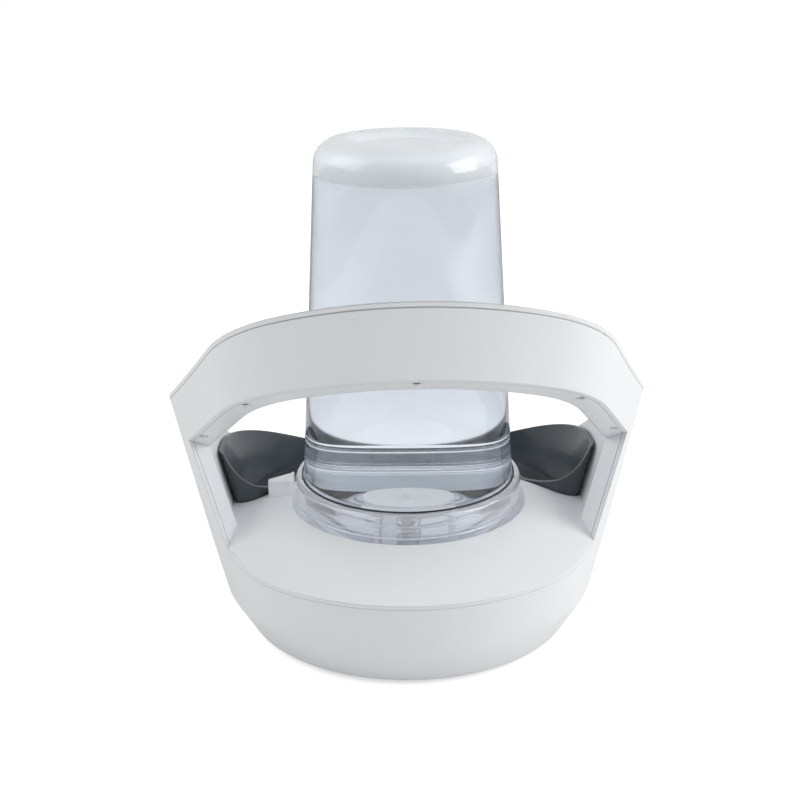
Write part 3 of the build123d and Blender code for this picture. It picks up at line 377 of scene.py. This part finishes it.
def softened(name, node, *roundings):
    """A copy of a node's solid with edges rounded.

    Each rounding is (width in mm, segments, test of an edge and its middle).
    """
    mesh = bmesh.new()
    mesh.from_mesh(nodes[node].data)
    bmesh.ops.remove_doubles(mesh, verts=mesh.verts, dist=join_distance)
    bmesh.ops.dissolve_limit(mesh, angle_limit=flat_angle, verts=mesh.verts, edges=mesh.edges)
    for width, segments, test in roundings:
        chosen = [edge for edge in mesh.edges if len(edge.link_faces) == 2
                  and edge.calc_face_angle() > rounded_angle
                  and test(edge, (edge.verts[0].co + edge.verts[1].co) / 2)]
        bmesh.ops.bevel(mesh, geom=chosen, offset=width * MM, offset_type="OFFSET", segments=segments,
                        profile=0.5, affect="EDGES", clamp_overlap=True)
    data = bpy.data.meshes.new(name)
    mesh.to_mesh(data)
    mesh.free()
    data.polygons.foreach_set("use_smooth", [True] * len(data.polygons))
    data.set_sharp_from_angle(angle=sharp_angle)
    piece = bpy.data.objects.new(name, data)
    bpy.context.scene.collection.objects.link(piece)
    even = piece.modifiers.new("even_normals", "WEIGHTED_NORMAL")
    even.keep_sharp = True
    return piece


# ---------------------------------------------------------------- case
def on_outer_face(edge, middle):
    return depth(middle) < skin_depth and middle.z > 0.03


def on_foot_edge(edge, middle):
    return middle.z < 0.0026


def at_opening(edge, middle):
    return abs(hypot(middle.x, middle.y) - dome_opening * MM) < 0.0004 and middle.z > 0.071


def in_valley(edge, middle):
    hollow = edge.calc_face_angle_signed() < 0
    return hollow and middle.y < 0 and 0.054 < middle.z < 0.0755 and depth(middle) > 3.2


def on_hoop(edge, middle):
    return middle.z > 0.09 and (depth(middle) < skin_depth or depth(middle) > 10)


case_cover = softened("case_cover", "outer_shell", (case_rounding, 3, on_outer_face),
                      (foot_rounding, 3, on_foot_edge))
dressed(case_cover, case_white, "base", "outer_shell")
dome_and_hoop = softened("dome_and_hoop", "inner_shell", (opening_rounding, 5, at_opening),
                         (valley_rounding, 5, in_valley), (hoop_rounding, 3, on_hoop))
dressed(dome_and_hoop, case_white, "base", "inner_shell")


# ---------------------------------------------------------------- bowl
def on_rim(edge, middle):
    return middle.z > 0.0605 and edge.calc_face_angle_signed() > 0


def under_bowl(edge, middle):
    return middle.z < 0.0505 and edge.calc_face_angle_signed() > 0 and hypot(middle.x, middle.y) > 0.075


bowl = softened("bowl", "drinking_bowl", (rim_rounding, 4, on_rim), (bowl_foot_rounding, 3, under_bowl))
dressed(bowl, bowl_grey, "bowl", "drinking_bowl")


def bowl_loop(z, shrink):
    """Outline of the bowl's crescent at a height, in mm, moved in by shrink."""
    share = (z - bowl_bottom) / (bowl_top - bowl_bottom)
    outer = cone_radius + case_flare * z - bowl_inset - shrink
    inner = bowl_inner_radius + shrink
    back = bowl_back_low + (bowl_back_high - bowl_back_low) * share + shrink
    corner = bowl_corner_low + (bowl_corner_high - bowl_corner_low) * share + shrink
    rounding = max(0.6, bowl_rounding_low + (bowl_rounding_high - bowl_rounding_low) * share - shrink)
    start = asin(back / inner)
    turns = [pi / 2 + (start - pi / 2) * i / 30 for i in range(31)]
    half = [Vector((inner * cos(a), inner * sin(a))) for a in turns]
    tip, middle, end = half[-1], Vector((outer, corner)), Vector((outer, front_shift))
    came, goes = (middle - tip).normalized(), (end - middle).normalized()
    turn = came.angle(goes)
    first = middle - came * rounding * tan(turn / 2)
    centre = first + Vector((-came.y, came.x)) * rounding
    half += [centre + Matrix.Rotation(turn * i / 10, 2) @ (first - centre) for i in range(11)]
    turns = [pi / 2 * i / 60 for i in range(61)]
    half += [Vector((outer * cos(a), front_shift + outer * sin(a))) for a in turns]
    return half + [Vector((-p.x, p.y)) for p in half[-2:0:-1]]


def filled(name, levels):
    """A closed form through loops of equal length, each (height, points) in mm, capped at both ends."""
    mesh = bmesh.new()
    rings = [[mesh.verts.new((p.x * MM, p.y * MM, z * MM)) for p in points] for z, points in levels]
    for lower, upper in zip(rings, rings[1:]):
        for i in range(len(lower)):
            j = (i + 1) % len(lower)
            mesh.faces.new((lower[i], lower[j], upper[j], upper[i]))
    mesh.faces.new(rings[0])
    mesh.faces.new(rings[-1])
    bmesh.ops.recalc_face_normals(mesh, faces=mesh.faces)
    data = bpy.data.meshes.new(name)
    mesh.to_mesh(data)
    mesh.free()
    piece = bpy.data.objects.new(name, data)
    bpy.context.scene.collection.objects.link(piece)
    return piece


bowl_water = filled("bowl_water", [(z, bowl_loop(z, bowl_wall - overlap))
                                   for z in (bowl_floor_top - overlap, bowl_water_top)])
dressed(bowl_water, pool_water, "bowl")


# ---------------------------------------------------------------- turned pieces
def rounded(corners, closed=True):
    """Points of a profile whose corners are arcs between guarded straight runs.

    A corner is (radius, height, rounding) in mm.
    """
    points = []
    count = len(corners)
    for i, (radius, height, rounding) in enumerate(corners):
        here = Vector((radius, height))
        if not closed and i in (0, count - 1):
            points.append(here)
            continue
        before = Vector(corners[i - 1][:2])
        after = Vector(corners[(i + 1) % count][:2])
        came, goes = (here - before).normalized(), (after - here).normalized()
        turn = came.angle_signed(goes)
        reach = abs(rounding / cos(turn / 2) * sin(turn / 2))
        guard = min(0.4, (here - before).length / 8, (after - here).length / 8)
        points.append(here - came * (reach + guard))
        arc_steps = max(2, round(abs(turn) / radians(9)))
        middle = here - came * reach + Vector((-came.y, came.x)) * rounding * (-1 if turn > 0 else 1)
        for k in range(arc_steps + 1):
            swing = Matrix.Rotation(-turn * k / arc_steps, 2)
            points.append(middle + swing @ (here - came * reach - middle))
        points.append(here + goes * (reach + guard))
    return points


def turned(name, profile, closed=True, steps=turning_steps):
    """A form turned about the bottle's axis from a profile in mm, which is a closed band or ends on the axis."""
    mesh = bmesh.new()
    rings = []
    for radius, height in profile:
        if radius < 1e-6:
            rings.append([mesh.verts.new((0, 0, height * MM))])
        else:
            rings.append([mesh.verts.new((radius * MM * cos(2 * pi * i / steps),
                                          radius * MM * sin(2 * pi * i / steps), height * MM))
                          for i in range(steps)])
    for lower, upper in zip(rings, rings[1:] + rings[:closed]):
        for i in range(steps if len(lower) + len(upper) > 2 else 0):
            j = (i + 1) % steps
            corners = [lower[i % len(lower)], lower[j % len(lower)],
                       upper[j % len(upper)], upper[i % len(upper)]]
            mesh.faces.new(list(dict.fromkeys(corners)))
    bmesh.ops.recalc_face_normals(mesh, faces=mesh.faces)
    data = bpy.data.meshes.new(name)
    mesh.to_mesh(data)
    mesh.free()
    piece = bpy.data.objects.new(name, data)
    bpy.context.scene.collection.objects.link(piece)
    data.polygons.foreach_set("use_smooth", [True] * len(data.polygons))
    return piece


def bottle_corners(inset, rounding):
    """Corners of the bottle's wall from its mouth up to its dished crown, moved in by inset."""
    crown = bottle_top - inset
    return [
        (bottle_neck_radius - inset, bottle_mouth, 0.8),
        (bottle_neck_radius - inset, bottle_shoulder, 2.5),
        (bottle_low_radius - inset, bottle_shoulder + shoulder_rise, 2.5),
        (crown_radius - inset, crown, rounding),
        (dish_rim_radius, crown, dish_rounding), (dish_radius, crown - dish_depth, dish_rounding),
        (0, crown - dish_depth, 0)]


bottle_shell = bottle_corners(0, crown_rounding)
bead = [(bottle_neck_radius, bead_low, 0.3), (bead_radius, bead_low, 0.6),
        (bead_radius, bead_high, 0.6), (bottle_neck_radius, bead_high, 0.3)]
outside = rounded([(bottle_neck_radius - bottle_wall, bottle_mouth, 0)] + bottle_shell[:1] + bead
                  + bottle_shell[1:], closed=False)
inside = rounded(bottle_corners(bottle_wall, crown_rounding - bottle_wall), closed=False)
bottle = turned("bottle", outside + inside[:0:-1], closed=True)
dressed(bottle, bottle_clear, "bottle", "water_bottle")

cap = turned("cap", rounded([
    (outlet_radius, cap_bottom, 0.5), (cap_radius, cap_bottom, 1.3), (cap_radius, cap_top, 2.6),
    (cap_bore, cap_top, 0.7), (cap_bore, cap_bead_high, 0.3), (cap_bead_radius, cap_bead_high, 0.5),
    (cap_bead_radius, cap_bead_low, 0.5), (cap_bore, cap_bead_low, 0.3), (cap_bore, cap_floor_top, 1.2),
    (outlet_radius, cap_floor_top, 0.5)]))
dressed(cap, cap_clear, "bottle", "bottle_cap")

spring = softened("spring", "valve_spring")
dressed(spring, steel, "valve", "valve_spring")
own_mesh(spring)

# ---------------------------------------------------------------- water
held = bottle_wall - overlap
lean = (bottle_low_radius - bottle_high_radius) / (bottle_high - bottle_shoulder - shoulder_rise)
top_radius = bottle_low_radius - held - lean * (bottle_water_top - bottle_shoulder - shoulder_rise)
bottle_water = turned("bottle_water", rounded([
    (0, bottle_water_top - meniscus, 0),
    (top_radius - meniscus_width, bottle_water_top - meniscus, meniscus_rounding),
    (top_radius, bottle_water_top, 0.3), (bottle_low_radius - held, bottle_shoulder + shoulder_rise, 2.5),
    (bottle_neck_radius - held, bottle_shoulder, 2.5), (bottle_neck_radius - held, bottle_water_foot, 1.0),
    (0, bottle_water_foot, 0)], closed=False), closed=False)
dressed(bottle_water, water, "bottle")

# ---------------------------------------------------------------- camera, floor and light
camera_distance = 0.765
camera_height = 0.4006
camera_side = radians(-1.8)
camera_heading = radians(1.8 - 0.32)
camera_pitch = radians(19.3)
camera_roll = radians(0.6)
image_width = 800
focal_pixels = 1380
floor_reach = 20.0
floor_lift = 0.52          # light the floor adds of its own, only where it is seen
room_light = 0.58
light_bounces = 32
lamp_aim = (0, 0, 0.12)

camera = bpy.data.objects.new("camera", bpy.data.cameras.new("camera"))
bpy.context.scene.collection.objects.link(camera)
camera.data.sensor_width = 36.0
camera.data.lens = focal_pixels / image_width * camera.data.sensor_width
ahead = Vector((sin(camera_heading) * cos(camera_pitch), cos(camera_heading) * cos(camera_pitch),
                -sin(camera_pitch)))
right = Vector((cos(camera_heading), -sin(camera_heading), 0))
up = right.cross(ahead)
camera_x = right * cos(camera_roll) - up * sin(camera_roll)
camera_y = right * sin(camera_roll) + up * cos(camera_roll)
turn = Matrix((camera_x, camera_y, -ahead)).transposed().to_4x4()
place = Vector((camera_distance * sin(camera_side), -camera_distance * cos(camera_side), camera_height))
camera.matrix_world = Matrix.Translation(place) @ turn
camera.data.clip_start, camera.data.clip_end = 0.01, 50
bpy.context.scene.camera = camera

floor_mesh = bpy.data.meshes.new("floor")
floor_mesh.from_pydata([(x * floor_reach, y * floor_reach, 0) for x, y in ((-1, -1), (1, -1), (1, 1), (-1, 1))],
                       [], [(0, 1, 2, 3)])
floor = bpy.data.objects.new("floor", floor_mesh)
bpy.context.scene.collection.objects.link(floor)
floor_paint, tree, principled, add = shader("floor_paint")
principled.inputs["Base Color"].default_value = (0.86, 0.86, 0.86, 1)
principled.inputs["Roughness"].default_value = 0.9
principled.inputs["Specular IOR Level"].default_value = 0.0
seen = add("ShaderNodeLightPath")
glow = add("ShaderNodeEmission", Strength=1.0)
either = add("ShaderNodeMath", operation="MAXIMUM")
lift = add("ShaderNodeMath", operation="MULTIPLY")
lift.inputs[1].default_value = floor_lift
both = add("ShaderNodeAddShader")
tree.links.new(seen.outputs["Is Camera Ray"], either.inputs[0])
tree.links.new(seen.outputs["Is Transmission Ray"], either.inputs[1])
tree.links.new(either.outputs[0], lift.inputs[0])
tree.links.new(lift.outputs[0], glow.inputs["Strength"])
tree.links.new(principled.outputs[0], both.inputs[0])
tree.links.new(glow.outputs[0], both.inputs[1])
tree.links.new(both.outputs[0], tree.nodes["Material Output"].inputs["Surface"])
floor.data.materials.append(floor_paint)

world = bpy.data.worlds.new("studio")
bpy.context.scene.world = world
world.use_nodes = True
tree = world.node_tree
background = tree.nodes["Background"]
path = tree.nodes.new("ShaderNodeLightPath")
white = tree.nodes.new("ShaderNodeBackground")
white.inputs["Strength"].default_value = 1.0
background.inputs["Color"].default_value = (0.96, 0.98, 1.0, 1)
background.inputs["Strength"].default_value = room_light
first = tree.nodes.new("ShaderNodeMath")
first.operation = "MAXIMUM"
second = tree.nodes.new("ShaderNodeMath")
second.operation = "MAXIMUM"
choose = tree.nodes.new("ShaderNodeMixShader")
tree.links.new(path.outputs["Is Camera Ray"], first.inputs[0])
tree.links.new(path.outputs["Is Glossy Ray"], first.inputs[1])
tree.links.new(first.outputs[0], second.inputs[0])
tree.links.new(path.outputs["Is Transmission Ray"], second.inputs[1])
tree.links.new(second.outputs[0], choose.inputs["Fac"])
tree.links.new(background.outputs[0], choose.inputs[1])
tree.links.new(white.outputs[0], choose.inputs[2])
tree.links.new(choose.outputs[0], tree.nodes["World Output"].inputs["Surface"])


def soft_lamp(name, spot, width, height, power):
    """A large rectangular lamp turned towards the fountain."""
    lamp = bpy.data.objects.new(name, bpy.data.lights.new(name, "AREA"))
    lamp.data.shape = "RECTANGLE"
    lamp.data.size, lamp.data.size_y = width, height
    lamp.data.energy = power
    bpy.context.scene.collection.objects.link(lamp)
    lamp.location = spot
    lamp.rotation_mode = "QUATERNION"
    lamp.rotation_quaternion = (Vector(lamp_aim) - Vector(spot)).to_track_quat("-Z", "Y")


soft_lamp("key", (1.6, -0.35, 0.8), 1.2, 1.2, 17.5)
soft_lamp("side", (-1.45, -0.1, 1.1), 1.4, 1.2, 8.5)

bpy.context.scene.cycles.max_bounces = light_bounces
bpy.context.scene.cycles.transmission_bounces = light_bounces
bpy.context.scene.cycles.transparent_max_bounces = light_bounces
bpy.context.scene.view_settings.view_transform = "Standard"
